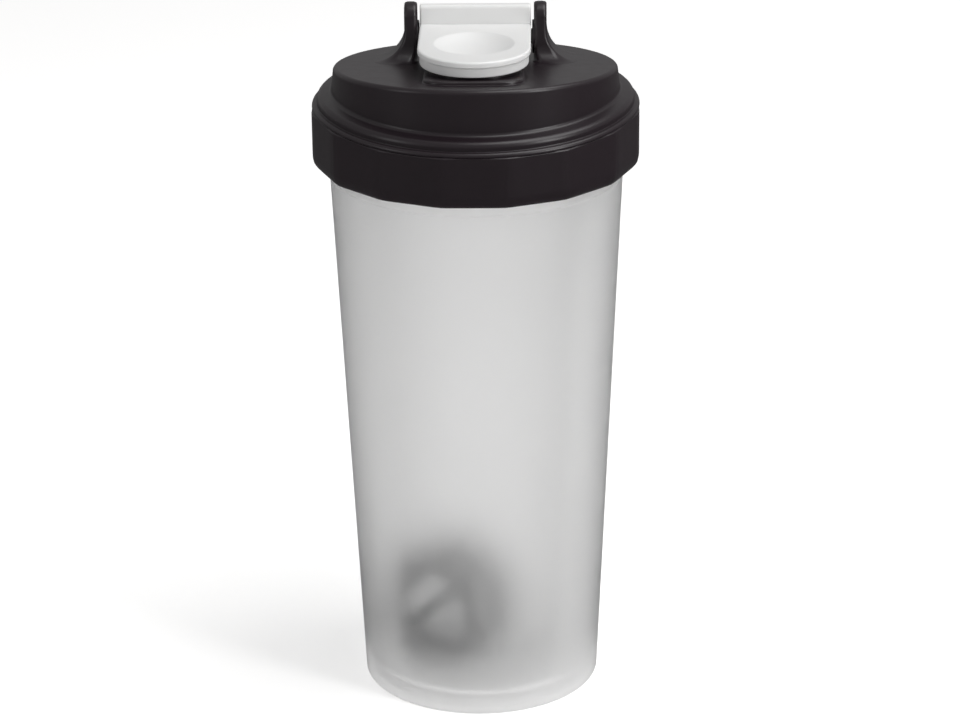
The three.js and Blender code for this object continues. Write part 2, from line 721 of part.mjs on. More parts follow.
const shaker = new THREE.Group();
shaker.add(
  buildCup(frostedPlastic),
  buildLid(blackPlastic),
  buildSealRing(sealRubber),
  buildFlipCap(whitePlastic),
  buildBall(ballPlastic),
);

export default shaker;
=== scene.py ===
"""A frosted shaker bottle with a black screw lid and a white flip cap, on a pale studio floor.

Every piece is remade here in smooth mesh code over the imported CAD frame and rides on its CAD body.
Lengths are written in millimetres and turned into Blender's metres by MM.
"""

import math

import bmesh
import bpy
from mathutils import Matrix, Vector


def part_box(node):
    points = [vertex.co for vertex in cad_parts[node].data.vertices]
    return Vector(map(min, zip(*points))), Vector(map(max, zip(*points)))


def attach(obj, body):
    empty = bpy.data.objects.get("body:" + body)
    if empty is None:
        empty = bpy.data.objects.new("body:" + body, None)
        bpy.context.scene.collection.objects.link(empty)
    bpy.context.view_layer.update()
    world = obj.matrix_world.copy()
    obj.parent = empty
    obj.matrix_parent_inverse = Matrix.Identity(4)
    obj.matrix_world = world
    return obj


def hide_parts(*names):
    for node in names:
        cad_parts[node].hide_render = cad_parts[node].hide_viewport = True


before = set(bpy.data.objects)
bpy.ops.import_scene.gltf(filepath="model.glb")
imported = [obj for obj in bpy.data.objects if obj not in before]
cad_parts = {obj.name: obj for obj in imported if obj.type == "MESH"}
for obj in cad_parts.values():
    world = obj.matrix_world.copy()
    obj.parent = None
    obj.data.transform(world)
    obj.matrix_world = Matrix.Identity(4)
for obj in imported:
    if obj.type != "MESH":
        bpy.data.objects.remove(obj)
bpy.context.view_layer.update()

MM = 0.001

# ---- Places taken from the frame, in millimetres ----


def box_mm(node):
    low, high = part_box(node)
    return low / MM, high / MM


LID_LOW, LID_HIGH = box_mm("lid")
CAP_LOW, CAP_HIGH = box_mm("flip_cap")
SEAL_LOW, SEAL_HIGH = box_mm("seal_ring")

MOUTH_HEIGHT = box_mm("cup")[1].z
COLLAR_BOTTOM = LID_LOW.z
TOTAL_HEIGHT = LID_HIGH.z
CAP_HALF_WIDTH = CAP_HIGH.x
CAP_FRONT_Y = CAP_LOW.y
CAP_TAB_TOP = CAP_HIGH.z

# ---- Dimensions in millimetres: the CAD part's, with finer edges added for the looks ----

# Cup
BASE_RADIUS = 37.4
CUP_TAPER = 0.0458
CUP_WALL = 1.8
# The edge of the foot is sharper than in the CAD part.
BASE_EDGE_RADIUS = 0.8
FOOT_INNER_RADIUS = 31.5
FOOT_RECESS_DEPTH = 2
FOOT_RECESS_SLOPE = 2.6
FOOT_RECESS_ROUND = 1.2
FOOT_PAD_ROUND = 0.8
FOOT_PAD_INSET = 0.4
FLOOR_HEIGHT = 4.2
FLOOR_CORNER_RADIUS = 6
SHOULDER_HEIGHT = 169.3
SHOULDER_ROUND = 0.5
# Heights of the extra rings that keep the long wall's faces short.
CUP_WALL_HEIGHTS = (40, 80, 120, 150)
NECK_RADIUS = 44.4
NECK_INNER_RADIUS = 42.5

# Thread
THREAD_PITCH = 5
THREAD_TURNS = 1.25
THREAD_START_HEIGHT = 177.8
THREAD_DEPTH = 2
THREAD_ROOT_HALF = 1.2
THREAD_CREST_HALF = 0.6
THREAD_BURIED = 0.3
# Share of the thread's length over which each end rises out of the wall.
THREAD_RUN_OUT = 0.06

# Lid
PANEL_COUNT = 16
PANEL_APOTHEM = 49.95
PANEL_TOP = 190.3
PANEL_EDGE_ROUND = 0.3
COLLAR_CORNER_RADIUS = 50.6
COLLAR_CORNER_SOFTNESS = 0.12
COLLAR_RIB_HEIGHT = 0.12
COLLAR_RIB_HALF_WIDTH = 0.6
COLLAR_BOTTOM_APOTHEM = 48.6
COLLAR_TAPER_TOP = 176.4
# Heights of the extra rows that keep the flats' faces short.
PANEL_ROW_HEIGHTS = (188, 184, 180)
RING_RADIUS = 50.15
RING_TOP = 191.9
RING_ROUND = 1
RING_FOOT_ROUND = 0.2
RIM_GROOVE_ROUND = 0.25
RIM_RADIUS = 48.6
RIM_TOP = 194.8
RIM_ROUND = 1.8
LEDGE_TOP = 195.1
LEDGE_FILLET = 1.2
FRONT_DIP = 1.4
FRONT_DIP_FROM_Y = -15
FRONT_DIP_FULL_Y = -50
FRONT_DIP_FOOT = 178
COLLAR_BORE_RADIUS = 47.2
COLLAR_CEILING = 191.1
COLLAR_CEILING_ROUND = 0.6
DRUM_FOOT_RADIUS = 44.1
DRUM_TOP_RADIUS = 43.5
DECK_HEIGHT = 202.9
DECK_LEAN = math.radians(6.4)
DECK_THICKNESS = 2.2
DECK_EDGE_RADIUS = 1.4
LIP_RADIUS = 42
LIP_THICKNESS = 1.6
LIP_BOTTOM = 186.2
LIP_OUTER_ROUND = 0.5
LIP_INNER_ROUND = 0.3

# Seal ring
SEAL_LIP_GAP = 0.4

# Spout, posts and hinge
SPOUT_Y = -16.9
SPOUT_RADIUS = 13.9
SPOUT_BORE_RADIUS = 11.9
SPOUT_HEIGHT = 3
SPOUT_LIP_ROUND = 0.85
SPOUT_FOOT_FILLET = 1
PLINTH_HALF_WIDTH = 15.1
PLINTH_FRONT = -18.5
PLINTH_BACK = 13.9
PLINTH_HEIGHT = 1.2
PLINTH_CORNER_RADIUS = 6.5
PLINTH_EDGE_ROUND = 0.75
PLINTH_FOOT_SPREAD = 0.25
PLINTH_DRAFT = 0.12
PLINTH_BURIED = 0.3
POST_INNER_X = 17.9
POST_OUTER_X = 21.8
POST_Y = 11
POST_TOP_RADIUS = 4.4
POST_CORNER_RADIUS = 1.1
POST_FOOT_HALF_DEPTH = 6.5
POST_FLARE_RADIUS = 10
POST_END_FLARE_RADIUS = 5
POST_INNER_FLARE_RADIUS = 0.8
# A post's sections lean with the deck at its foot and are level from this height above it.
POST_LEVEL_HEIGHT = 8
HINGE_HEIGHT = 208.5
HINGE_PIN_RADIUS = 2.4
HINGE_HOLE_RADIUS = 2.6
HINGE_PIN_INNER_X = 14.4
HINGE_BOSS_RADIUS = 5.2
HINGE_BOSS_INNER_X = 17.35

# Flip cap
CAP_TOP = 213.4
CAP_PLATE_THICKNESS = 2
# How far the tab, the skirt and the ears reach into the plate, or past each other.
CAP_OVERLAP = 1
CAP_NOSE_Y = CAP_FRONT_Y + CAP_HALF_WIDTH
CAP_TAB_FRONT_Y = 7.6
CAP_TAB_THICKNESS = 3.2
CAP_SKIRT_OVERHANG = 0.6
CAP_SKIRT_WALL = 1.4
CAP_SKIRT_BOTTOM = 208.4
CAP_SKIRT_END_Y = 3
CAP_CHEEK_OUTER_X = 16.9
CAP_CHEEK_INNER_X = 14.7
CAP_CHEEK_RADIUS = 4.8
DIMPLE_Y = -12.8
DIMPLE_RADIUS = 12.2
DIMPLE_DEPTH = 3.6
DIMPLE_WALL = 1.4
# The radius of the sphere that the dimple is the foot of.
DIMPLE_SPHERE_RADIUS = (DIMPLE_RADIUS**2 + DIMPLE_DEPTH**2) / (2 * DIMPLE_DEPTH)
PLUG_RADIUS = 11.4
PLUG_WALL = 1.4
PLUG_DEPTH = 2.4

# Mixer ball
BALL_RADIUS = 22
BALL_BAR_RADIUS = 1.8
BALL_KNOT_RADIUS = 3.5
BALL_FLOOR_GAP = 0.3
BALL_CENTRE = Vector((-11.5, -8, FLOOR_HEIGHT + BALL_FLOOR_GAP + BALL_RADIUS))
# Radians about the ball's own X, then Y, then Z.
BALL_TURN = (-1.098, -0.449, 0.414)
BALL_SEAM_HALF_HEIGHT = 2.4
BALL_SEAM_GAP = 0.3
# The length of an icosahedron's edge for each unit of its corners' distance from the middle.
ICOSAHEDRON_EDGE = 1.0515

# Frosted wall: the share of milk in it, falling from the base to the wall between two heights
MILK_IN_BASE = 0.8
MILK_IN_WALL = 0.21
MILK_FULL_HEIGHT = 4
MILK_LOW_HEIGHT = 22
MILK_GLOW_SHARE = 0.8

# Studio: brightness of the floor and of the world round it
FLOOR_HALF_SIZE = 4000
FLOOR_GLOW = 0.42
WORLD_BELOW = 0.12
WORLD_HORIZON = 0.3
WORLD_ABOVE = 0.4
WORLD_THROUGH_WALL = 1.1

# Smoothness
TURN_SEGMENTS = 256
COLLAR_SEGMENTS = 24 * PANEL_COUNT
SPOUT_SEGMENTS = 128
PLINTH_BORE_SEGMENTS = 64
PIN_SEGMENTS = 48
NOSE_STEPS = 48
BALL_VOXEL = 0.4
MERGE_DISTANCE = 1e-5

# ---- Mesh helpers, all in millimetres ----


def clamp(share):
    return min(1.0, max(0.0, share))


def arc(centre_x, centre_y, radius, start, end, steps=8):
    """Points on an arc, with angles in degrees from the +X side."""
    points = []
    for i in range(steps + 1):
        angle = math.radians(start + (end - start) * i / steps)
        points.append((centre_x + radius * math.cos(angle), centre_y + radius * math.sin(angle)))
    return points


def add_ring(bm, points):
    return [bm.verts.new(p) for p in points]


def skin(bm, ring_a, ring_b, closed=True):
    """A strip of quads between two rings with the same number of points."""
    count = len(ring_a)
    for i in range(count if closed else count - 1):
        j = (i + 1) % count
        bm.faces.new((ring_a[i], ring_a[j], ring_b[j], ring_b[i]))


def fan(bm, ring, apex):
    for i, corner in enumerate(ring):
        bm.faces.new((corner, ring[(i + 1) % len(ring)], apex))


def edges_round(bm, ring):
    """The edges that join the points of a closed ring."""
    pairs = zip(ring, ring[1:] + ring[:1])
    return [bm.edges.get(pair) or bm.edges.new(pair) for pair in pairs]


def fill_between(bm, outer, inner):
    """Flat triangles between a ring and a second one that lies inside it."""
    edges = edges_round(bm, outer) + edges_round(bm, inner)
    bmesh.ops.triangle_fill(bm, use_beauty=True, edges=edges)


def turned_rings(bm, profile, segments, place=None):
    """Rings about the Z axis for a profile of (radius, height), each point moved by place if given."""
    rings = []
    for radius, height in profile:
        if radius == 0:
            points = [(0, 0, height)]
        else:
            points = [
                (
                    radius * math.cos(2 * math.pi * i / segments),
                    radius * math.sin(2 * math.pi * i / segments),
                    height,
                )
                for i in range(segments)
            ]
        rings.append(add_ring(bm, [place(Vector(p)) if place else p for p in points]))
    return rings


def skin_rings(bm, rings, closed=False):
    """Faces along a row of rings, where a ring of one point is a pole."""
    pairs = list(zip(rings, rings[1:]))
    if closed:
        pairs.append((rings[-1], rings[0]))
    for ring_a, ring_b in pairs:
        if len(ring_a) == 1:
            fan(bm, ring_b, ring_a[0])
        elif len(ring_b) == 1:
            fan(bm, ring_a, ring_b[0])
        else:
            skin(bm, ring_a, ring_b)


def turned(bm, profile, segments=TURN_SEGMENTS, place=None, closed=False):
    rings = turned_rings(bm, profile, segments, place)
    skin_rings(bm, rings, closed)
    return rings


def mesh_object(name, bm, material, sharp_angle=35):
    """A finished piece in metres, smooth but for edges sharper than the angle in degrees."""
    bmesh.ops.remove_doubles(bm, verts=bm.verts, dist=MERGE_DISTANCE)
    bmesh.ops.recalc_face_normals(bm, faces=bm.faces)
    bmesh.ops.scale(bm, vec=(MM, MM, MM), verts=bm.verts)
    mesh = bpy.data.meshes.new(name)
    bm.to_mesh(mesh)
    bm.free()
    mesh.shade_smooth()
    mesh.set_sharp_from_angle(angle=math.radians(sharp_angle))
    piece = bpy.data.objects.new(name, mesh)
    bpy.context.collection.objects.link(piece)
    piece.data.materials.append(material)
    return piece


def keep_flats_flat(piece):
    """Makes the shading of flat faces follow the flats and leaves the turn to the rounded edges."""
    modifier = piece.modifiers.new("flat_faces", "WEIGHTED_NORMAL")
    modifier.keep_sharp = True
    modifier.weight = 80


def stand_in(piece, body, slot, *nodes):
    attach(piece, body)
    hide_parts(*nodes)
    return piece


# ---- Materials ----


class Nodes:
    """A short way to write a procedural material."""

    def __init__(self, name):
        self.material = bpy.data.materials.new(name)
        self.material.use_nodes = True
        self.tree = self.material.node_tree
        self.tree.nodes.clear()
        self.output = self.add("ShaderNodeOutputMaterial")
        self.place = self.add("ShaderNodeTexCoord").outputs["Object"]

    def add(self, kind, inputs=None, **settings):
        node = self.tree.nodes.new(kind)
        for key, value in settings.items():
            setattr(node, key, value)
        for key, value in (inputs or {}).items():
            self.give(node.inputs[key], value)
        return node

    def give(self, socket, value):
        if isinstance(value, bpy.types.NodeSocket):
            self.tree.links.new(value, socket)
        else:
            socket.default_value = value

    def noise(self, scale, detail=4, roughness=0.5, stretch=(1, 1, 1)):
        """Noise with a scale in cycles per metre."""
        mapping = self.add("ShaderNodeMapping", {"Vector": self.place, "Scale": stretch})
        inputs = {"Vector": mapping.outputs[0], "Scale": scale, "Detail": detail, "Roughness": roughness}
        return self.add("ShaderNodeTexNoise", inputs).outputs["Fac"]

    def remap(self, value, low, high, to_low, to_high):
        inputs = {"Value": value, "From Min": low, "From Max": high, "To Min": to_low, "To Max": to_high}
        return self.add("ShaderNodeMapRange", inputs).outputs[0]

    def blend_colour(self, share, colour_a, colour_b):
        node = self.add("ShaderNodeMix", data_type="RGBA")
        self.give(node.inputs["Factor"], share)
        self.give(node.inputs["A"], colour_a)
        self.give(node.inputs["B"], colour_b)
        return node.outputs["Result"]

    def mix_shaders(self, share, shader_a, shader_b):
        """Shader A with that share of shader B in it."""
        inputs = {0: share, 1: shader_a.outputs[0], 2: shader_b.outputs[0]}
        return self.add("ShaderNodeMixShader", inputs)

    def bump(self, height, depth, strength=1.0, under=None):
        """A bump of that depth in millimetres where height runs from 0 to 1."""
        inputs = {"Height": height, "Distance": depth * MM, "Strength": strength}
        if under is not None:
            inputs["Normal"] = under
        return self.add("ShaderNodeBump", inputs).outputs[0]

    def finish(self, shader):
        self.tree.links.new(shader.outputs[0], self.output.inputs["Surface"])
        return self.material


def grey(value, alpha=1.0):
    return (value, value, value, alpha)


def black_gloss_plastic():
    """Moulded black polypropylene: satin gloss, faint flow marks and hairline wear."""
    m = Nodes("black_gloss_plastic")
    cloud = m.noise(45, detail=3)
    grain = m.noise(2600, detail=2)
    scuffs = m.noise(220, detail=6, roughness=0.7, stretch=(1, 1, 0.12))
    colour = m.blend_colour(cloud, (0.0110, 0.0062, 0.0090, 1), (0.0135, 0.0080, 0.0112, 1))
    roughness = m.remap(scuffs, 0.35, 0.75, 0.33, 0.37)
    waviness = m.bump(cloud, 0.02, strength=0.5)
    normal = m.bump(grain, 0.006, strength=0.5, under=waviness)
    shader = m.add(
        "ShaderNodeBsdfPrincipled",
        {"Base Color": colour, "Roughness": roughness, "Normal": normal, "IOR": 1.5},
    )
    return m.finish(shader)


def white_satin_plastic():
    """Moulded white polypropylene with a fine satin grain and light passing a little way in."""
    m = Nodes("white_satin_plastic")
    cloud = m.noise(60, detail=3)
    grain = m.noise(3200, detail=2)
    colour = m.blend_colour(cloud, (0.80, 0.80, 0.795, 1), (0.84, 0.84, 0.835, 1))
    roughness = m.remap(cloud, 0.3, 0.7, 0.36, 0.46)
    normal = m.bump(grain, 0.008, strength=0.5)
    shader = m.add(
        "ShaderNodeBsdfPrincipled",
        {
            "Base Color": colour,
            "Roughness": roughness,
            "Normal": normal,
            "IOR": 1.49,
            "Subsurface Weight": 0.15,
            "Subsurface Radius": (1.0, 0.95, 0.9),
            "Subsurface Scale": 1.2 * MM,
        },
    )
    return m.finish(shader)


def frosted_plastic():
    """Natural polypropylene: a milky skin that lets blurred shapes through."""
    m = Nodes("frosted_plastic")
    cloud = m.noise(28, detail=3)
    grain = m.noise(1500, detail=3)
    colour = m.blend_colour(cloud, (0.945, 0.945, 0.945, 1), (0.965, 0.965, 0.965, 1))
    roughness = m.remap(grain, 0.3, 0.7, 0.74, 0.80)
    normal = m.bump(grain, 0.01, strength=0.35)
    see_through = m.add(
        "ShaderNodeBsdfRefraction",
        {"Color": colour, "Roughness": roughness, "IOR": 1.24, "Normal": normal},
    )
    glow = m.add("ShaderNodeBsdfTranslucent", {"Color": colour, "Normal": normal})
    skin_white = m.add("ShaderNodeBsdfDiffuse", {"Color": colour, "Normal": normal})
    milk = m.mix_shaders(MILK_GLOW_SHARE, skin_white, glow)
    height = m.add("ShaderNodeSeparateXYZ", {0: m.place}).outputs["Z"]
    # The thick base scatters more than the thin wall.
    milkiness = m.remap(
        height, MILK_FULL_HEIGHT * MM, MILK_LOW_HEIGHT * MM, MILK_IN_BASE, MILK_IN_WALL
    )
    body = m.mix_shaders(milkiness, see_through, milk)
    sheen = m.add("ShaderNodeBsdfGlossy", {"Color": grey(1), "Roughness": 0.36, "Normal": normal})
    facing = m.add("ShaderNodeFresnel", {"IOR": 1.38, "Normal": normal}).outputs[0]
    return m.finish(m.mix_shaders(facing, body, sheen))


def seal_silicone():
    """Soft natural silicone, clouded and almost matt."""
    m = Nodes("seal_silicone")
    cloud = m.noise(120, detail=3)
    grain = m.noise(2400, detail=2)
    colour = m.blend_colour(cloud, (0.55, 0.55, 0.54, 1), (0.62, 0.62, 0.61, 1))
    roughness = m.remap(cloud, 0.3, 0.7, 0.55, 0.7)
    normal = m.bump(grain, 0.01, strength=0.5)
    shader = m.add(
        "ShaderNodeBsdfPrincipled",
        {"Base Color": colour, "Roughness": roughness, "Normal": normal, "IOR": 1.42},
    )
    return m.finish(shader)


def ball_plastic():
    """Moulded black plastic of the mixing ball."""
    m = Nodes("ball_plastic")
    cloud = m.noise(90, detail=3)
    grain = m.noise(2200, detail=2)
    colour = m.blend_colour(cloud, (0.010, 0.010, 0.012, 1), (0.018, 0.018, 0.021, 1))
    roughness = m.remap(cloud, 0.3, 0.7, 0.38, 0.5)
    normal = m.bump(grain, 0.01, strength=0.5)
    shader = m.add(
        "ShaderNodeBsdfPrincipled",
        {"Base Color": colour, "Roughness": roughness, "Normal": normal, "IOR": 1.5},
    )
    return m.finish(shader)


def floor_paint():
    """Plain pale floor that stays near white and lets only soft shadows show."""
    m = Nodes("floor_paint")
    cloud = m.noise(3, detail=3)
    colour = m.blend_colour(cloud, (0.93, 0.925, 0.92, 1), (0.95, 0.945, 0.94, 1))
    shader = m.add(
        "ShaderNodeBsdfPrincipled",
        {
            "Base Color": colour,
            "Roughness": 0.9,
            "Specular IOR Level": 0.1,
            "Emission Color": grey(1),
            "Emission Strength": FLOOR_GLOW,
        },
    )
    return m.finish(shader)


# ---- Screw thread ----


def thread(bm, foot_radius, depth, start_height):
    """A rounded ridge wound round the Z axis, a right-hand thread. A depth below zero faces inwards."""
    buried = -math.copysign(THREAD_BURIED, depth)
    section = [
        (buried, -THREAD_ROOT_HALF),
        (0.5 * depth, -0.5 * (THREAD_ROOT_HALF + THREAD_CREST_HALF)),
        (0.9 * depth, -THREAD_CREST_HALF),
        (depth, -0.6 * THREAD_CREST_HALF),
        (depth, 0.6 * THREAD_CREST_HALF),
        (0.9 * depth, THREAD_CREST_HALF),
        (0.5 * depth, 0.5 * (THREAD_ROOT_HALF + THREAD_CREST_HALF)),
        (buried, THREAD_ROOT_HALF),
    ]
    steps = round(THREAD_TURNS * TURN_SEGMENTS / 2)
    rings = []
    for step in range(steps + 1):
        along = step / steps
        rise = min(1.0, along / THREAD_RUN_OUT, (1 - along) / THREAD_RUN_OUT)
        angle = along * THREAD_TURNS * 2 * math.pi
        height = start_height + along * THREAD_TURNS * THREAD_PITCH
        points = []
        for out, up in section:
            radius = foot_radius + (out if out == buried else out * rise)
            points.append((radius * math.cos(angle), radius * math.sin(angle), height + up))
        rings.append(add_ring(bm, points))
    skin_rings(bm, rings)
    bm.faces.new(rings[0])
    bm.faces.new(rings[-1])


# ---- Cup ----


def cup_radius_at(height):
    return BASE_RADIUS + CUP_TAPER * height


def build_cup():
    edge = BASE_EDGE_RADIUS
    foot_edge = cup_radius_at(edge) - edge
    shoulder = cup_radius_at(SHOULDER_HEIGHT)
    wall_start = FLOOR_HEIGHT + FLOOR_CORNER_RADIUS
    wall_end = SHOULDER_HEIGHT - 2
    floor_edge = cup_radius_at(wall_start) - CUP_WALL - FLOOR_CORNER_RADIUS
    lip_round = (NECK_RADIUS - NECK_INNER_RADIUS) / 2
    recess_edge = FOOT_INNER_RADIUS - FOOT_RECESS_SLOPE
    recess, pad = FOOT_RECESS_ROUND, FOOT_PAD_ROUND
    profile = [
        (0, FOOT_RECESS_DEPTH),
        (recess_edge, FOOT_RECESS_DEPTH),
        *arc(recess_edge, FOOT_RECESS_DEPTH - recess, recess, 90, 20, 4),
        *arc(FOOT_INNER_RADIUS + FOOT_PAD_INSET, pad, pad, 200, 270, 4),
        *arc(foot_edge, edge, edge, -90, 0, 10),
        *[(cup_radius_at(height), height) for height in CUP_WALL_HEIGHTS],
        *arc(shoulder - SHOULDER_ROUND, SHOULDER_HEIGHT - SHOULDER_ROUND, SHOULDER_ROUND, 0, 90, 4),
        (NECK_RADIUS, SHOULDER_HEIGHT + SHOULDER_ROUND),
        (NECK_RADIUS, THREAD_START_HEIGHT),
        *arc(NECK_RADIUS - lip_round, MOUTH_HEIGHT - lip_round, lip_round, 0, 180, 10),
        (NECK_INNER_RADIUS, SHOULDER_HEIGHT + 2),
        (cup_radius_at(wall_end) - CUP_WALL, wall_end),
        *[(cup_radius_at(height) - CUP_WALL, height) for height in reversed(CUP_WALL_HEIGHTS)],
        *arc(floor_edge, wall_start, FLOOR_CORNER_RADIUS, 0, -90, 10),
        (0, FLOOR_HEIGHT),
    ]
    bm = bmesh.new()
    turned(bm, profile)
    thread(bm, NECK_RADIUS, THREAD_DEPTH, THREAD_START_HEIGHT)
    piece = mesh_object("frosted_cup", bm, frosted_plastic(), sharp_angle=50)
    return stand_in(piece, "cup", "frosted_plastic", "cup")


# ---- Lid ----


def deck_height_at(y):
    return DECK_HEIGHT - y * math.tan(DECK_LEAN)


def lean_top(place):
    """Full lean from the deck's underside up, fading out down the drum's wall."""
    wall_foot = LEDGE_TOP + LEDGE_FILLET + 0.2
    share = clamp((place.z - wall_foot) / (DECK_HEIGHT - DECK_THICKNESS - wall_foot))
    return Vector((place.x, place.y, place.z - share * place.y * math.tan(DECK_LEAN)))


def dip_front(place):
    """Lowers the flats' top edge, the ring, the rim and the ledge at the front of the lid."""
    if math.hypot(place.x, place.y) < DRUM_TOP_RADIUS + 0.3:
        return place
    along = clamp((FRONT_DIP_FROM_Y - place.y) / (FRONT_DIP_FROM_Y - FRONT_DIP_FULL_Y))
    upward = clamp((place.z - FRONT_DIP_FOOT) / (PANEL_TOP - 1 - FRONT_DIP_FOOT))
    share = along * along * (3 - 2 * along) * upward
    return place - Vector((0, 0, FRONT_DIP * share))


def panel_radius(apothem, angle):
    """The collar's outline: flats cut on a round, with a fine rib where two flats meet."""
    pitch = 2 * math.pi / PANEL_COUNT
    # A flat's middle faces the front, so a rib stands half a pitch away from it.
    from_middle = (angle + math.pi / 2 + pitch / 2) % pitch - pitch / 2
    flat = apothem / math.cos(from_middle)
    corner = COLLAR_CORNER_RADIUS - PANEL_APOTHEM + apothem
    from_rib = (pitch / 2 - abs(from_middle)) * apothem
    rib = COLLAR_RIB_HEIGHT * math.exp(-((from_rib / COLLAR_RIB_HALF_WIDTH) ** 2))
    rounded = 0.5 * (flat + corner - math.hypot(flat - corner, COLLAR_CORNER_SOFTNESS))
    return rounded + rib


def collar_point(apothem, height, angle):
    radius = panel_radius(apothem, angle)
    return dip_front(Vector((radius * math.cos(angle), radius * math.sin(angle), height)))


def lid_shell(bm):
    """The lid's whole skin but for the flat deck. Returns its upper and lower deck edges."""
    edge = DECK_EDGE_RADIUS
    foot = LEDGE_FILLET
    groove = RIM_GROOVE_ROUND
    panel_top = PANEL_EDGE_ROUND
    upper = [
        *arc(DRUM_TOP_RADIUS - edge, DECK_HEIGHT - edge, edge, 90, 0, 10),
        *arc(DRUM_FOOT_RADIUS + foot, LEDGE_TOP + foot, foot, 180, 265, 8),
        *arc(RIM_RADIUS - RIM_ROUND, RIM_TOP - RIM_ROUND, RIM_ROUND, 80, 0, 10),
        *arc(RIM_RADIUS + groove, RING_TOP + groove, groove, 180, 270, 3),
        *arc(RING_RADIUS - RING_ROUND, RING_TOP - RING_ROUND, RING_ROUND, 90, 0, 8),
        *arc(RING_RADIUS - RING_FOOT_ROUND, PANEL_TOP + 0.5, RING_FOOT_ROUND, 0, -80, 3),
    ]
    # Apothem and height of the panelled skirt, from its top edge to its foot.
    skirt = [
        (PANEL_APOTHEM - panel_top, PANEL_TOP + 0.2),
        *arc(PANEL_APOTHEM - panel_top, PANEL_TOP - panel_top / 2, panel_top, 70, 0, 4),
        *[(PANEL_APOTHEM, height) for height in (*PANEL_ROW_HEIGHTS, COLLAR_TAPER_TOP + 0.6)],
        (PANEL_APOTHEM - 0.05, COLLAR_TAPER_TOP - 0.2),
        (COLLAR_BOTTOM_APOTHEM + 0.95, COLLAR_BOTTOM + 1.5),
        (COLLAR_BOTTOM_APOTHEM + 0.35, COLLAR_BOTTOM + 0.5),
        (COLLAR_BOTTOM_APOTHEM, COLLAR_BOTTOM + 0.12),
        (COLLAR_BOTTOM_APOTHEM - 0.25, COLLAR_BOTTOM),
    ]
    drum_inner = DRUM_TOP_RADIUS - DECK_THICKNESS
    underside = DECK_HEIGHT - DECK_THICKNESS
    lip_inner = LIP_RADIUS - LIP_THICKNESS
    tip, root = LIP_OUTER_ROUND, LIP_INNER_ROUND
    ceiling = COLLAR_CEILING_ROUND
    lower = [
        (COLLAR_BORE_RADIUS + 0.3, COLLAR_BOTTOM),
        (COLLAR_BORE_RADIUS, COLLAR_BOTTOM + 0.4),
        (COLLAR_BORE_RADIUS, COLLAR_CEILING - ceiling),
        *arc(COLLAR_BORE_RADIUS - ceiling, COLLAR_CEILING - ceiling, ceiling, 30, 90, 3),
        *arc(LIP_RADIUS + root, COLLAR_CEILING - root, root, 90, 180, 3),
        *arc(LIP_RADIUS - tip, LIP_BOTTOM + tip, tip, 0, -90, 4),
        *arc(lip_inner + root, LIP_BOTTOM + root, root, 270, 180, 3),
        (lip_inner, COLLAR_CEILING),
        (drum_inner, COLLAR_CEILING + 2.5),
        *arc(drum_inner - edge, underside - edge, edge, 0, 90, 6),
    ]
    rings = turned_rings(bm, upper, COLLAR_SEGMENTS, lambda place: lean_top(dip_front(place)))
    angles = [2 * math.pi * i / COLLAR_SEGMENTS for i in range(COLLAR_SEGMENTS)]
    for apothem, height in skirt:
        rings.append(add_ring(bm, [collar_point(apothem, height, angle) for angle in angles]))
    rings += turned_rings(bm, lower, COLLAR_SEGMENTS, lean_top)
    skin_rings(bm, rings)
    return rings[0], rings[-1]


def at_spout(place):
    """Takes a point given square to the deck, from the spout's middle, to its place in the lid."""
    turn = Matrix.Rotation(-DECK_LEAN, 3, "X")
    return turn @ place + Vector((0, SPOUT_Y, deck_height_at(SPOUT_Y)))


def spout(bm):
    """The spout's wall, from the deck's top round the lip to the deck's underside."""
    fillet = SPOUT_FOOT_FILLET
    lip = SPOUT_LIP_ROUND
    under = 0.5
    deck_underside = -DECK_THICKNESS * math.cos(DECK_LEAN)
    profile = [
        *arc(SPOUT_RADIUS + fillet, fillet, fillet, 270, 180, 8),
        *arc(SPOUT_RADIUS - lip, SPOUT_HEIGHT - lip, lip, 0, 90, 6),
        *arc(SPOUT_BORE_RADIUS + lip, SPOUT_HEIGHT - lip, lip, 90, 180, 6),
        *arc(SPOUT_BORE_RADIUS + under, deck_underside + under, under, 180, 270, 4),
    ]
    rings = turned(bm, profile, SPOUT_SEGMENTS, at_spout)
    return rings[0], rings[-1]


def plinth(bm):
    """The low round-cornered step that the spout stands on."""
    spread, draft, edge = PLINTH_FOOT_SPREAD, PLINTH_DRAFT, PLINTH_EDGE_ROUND
    rounding = arc(draft + edge, PLINTH_HEIGHT - edge, edge, 180, 90, 6)
    # Inset from the foot's outline and height above the deck, up the plinth's wall.
    rise = [(-spread, -PLINTH_BURIED), (-spread, 0), (0, 0.06), (draft, 0.2), *rounding]
    rings = []
    for inset, height in rise:
        half = PLINTH_HALF_WIDTH - inset
        front, back = PLINTH_FRONT + inset, PLINTH_BACK - inset
        outline = rounded_rectangle(-half, half, front, back, PLINTH_CORNER_RADIUS - inset, 10)
        rings.append(add_ring(bm, [at_spout(Vector((x, y, height))) for x, y in outline]))
    skin_rings(bm, rings)
    # The plinth is a frame, and its inner edge lies hidden in the spout's wall.
    hidden = SPOUT_RADIUS - 0.5
    edges = [(hidden, PLINTH_HEIGHT), (hidden, -PLINTH_BURIED)]
    bore = turned_rings(bm, edges, PLINTH_BORE_SEGMENTS, at_spout)
    skin_rings(bm, bore)
    fill_between(bm, rings[-1], bore[0])
    fill_between(bm, rings[0], bore[1])


